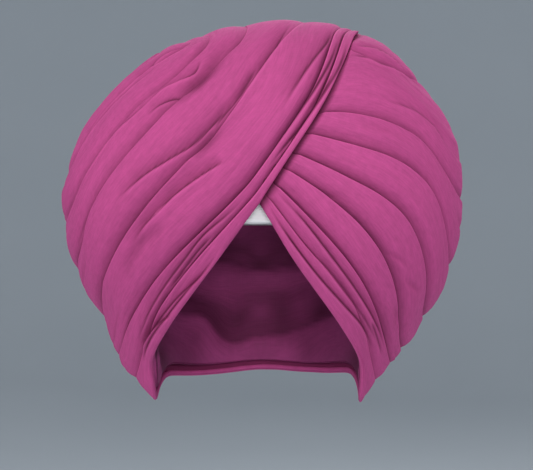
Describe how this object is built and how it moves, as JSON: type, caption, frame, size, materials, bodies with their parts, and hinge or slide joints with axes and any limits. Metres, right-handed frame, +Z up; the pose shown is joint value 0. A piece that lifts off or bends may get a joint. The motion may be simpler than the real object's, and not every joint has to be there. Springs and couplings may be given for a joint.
{
  "type": "turban",
  "caption": "Wound cotton turban shown worn: pleated turns cross over the forehead in a notch and run round an open head hollow.",
  "frame": {"origin": "the top of the head hollow, where the turban sits on the crown of the head", "axes": "+Z up, -Y towards the front, where the turns cross over the forehead, and +X towards the wearer's left"},
  "size_m": [0.2838, 0.27, 0.2702],
  "materials": {
    "magenta_cotton": "matte cotton voile",
    "inner_cotton": "matte cotton voile, in shade",
    "white_cotton": "matte white cotton"
  },
  "bodies": {
    "root": {"under_band": "white_cotton", "inner_wrap": "inner_cotton", "turn_1": "magenta_cotton", "turn_2": "magenta_cotton", "turn_3": "magenta_cotton", "turn_4": "magenta_cotton", "turn_5": "magenta_cotton", "turn_6": "magenta_cotton", "turn_7": "magenta_cotton", "turn_8": "magenta_cotton"}
  },
  "joints": []
}
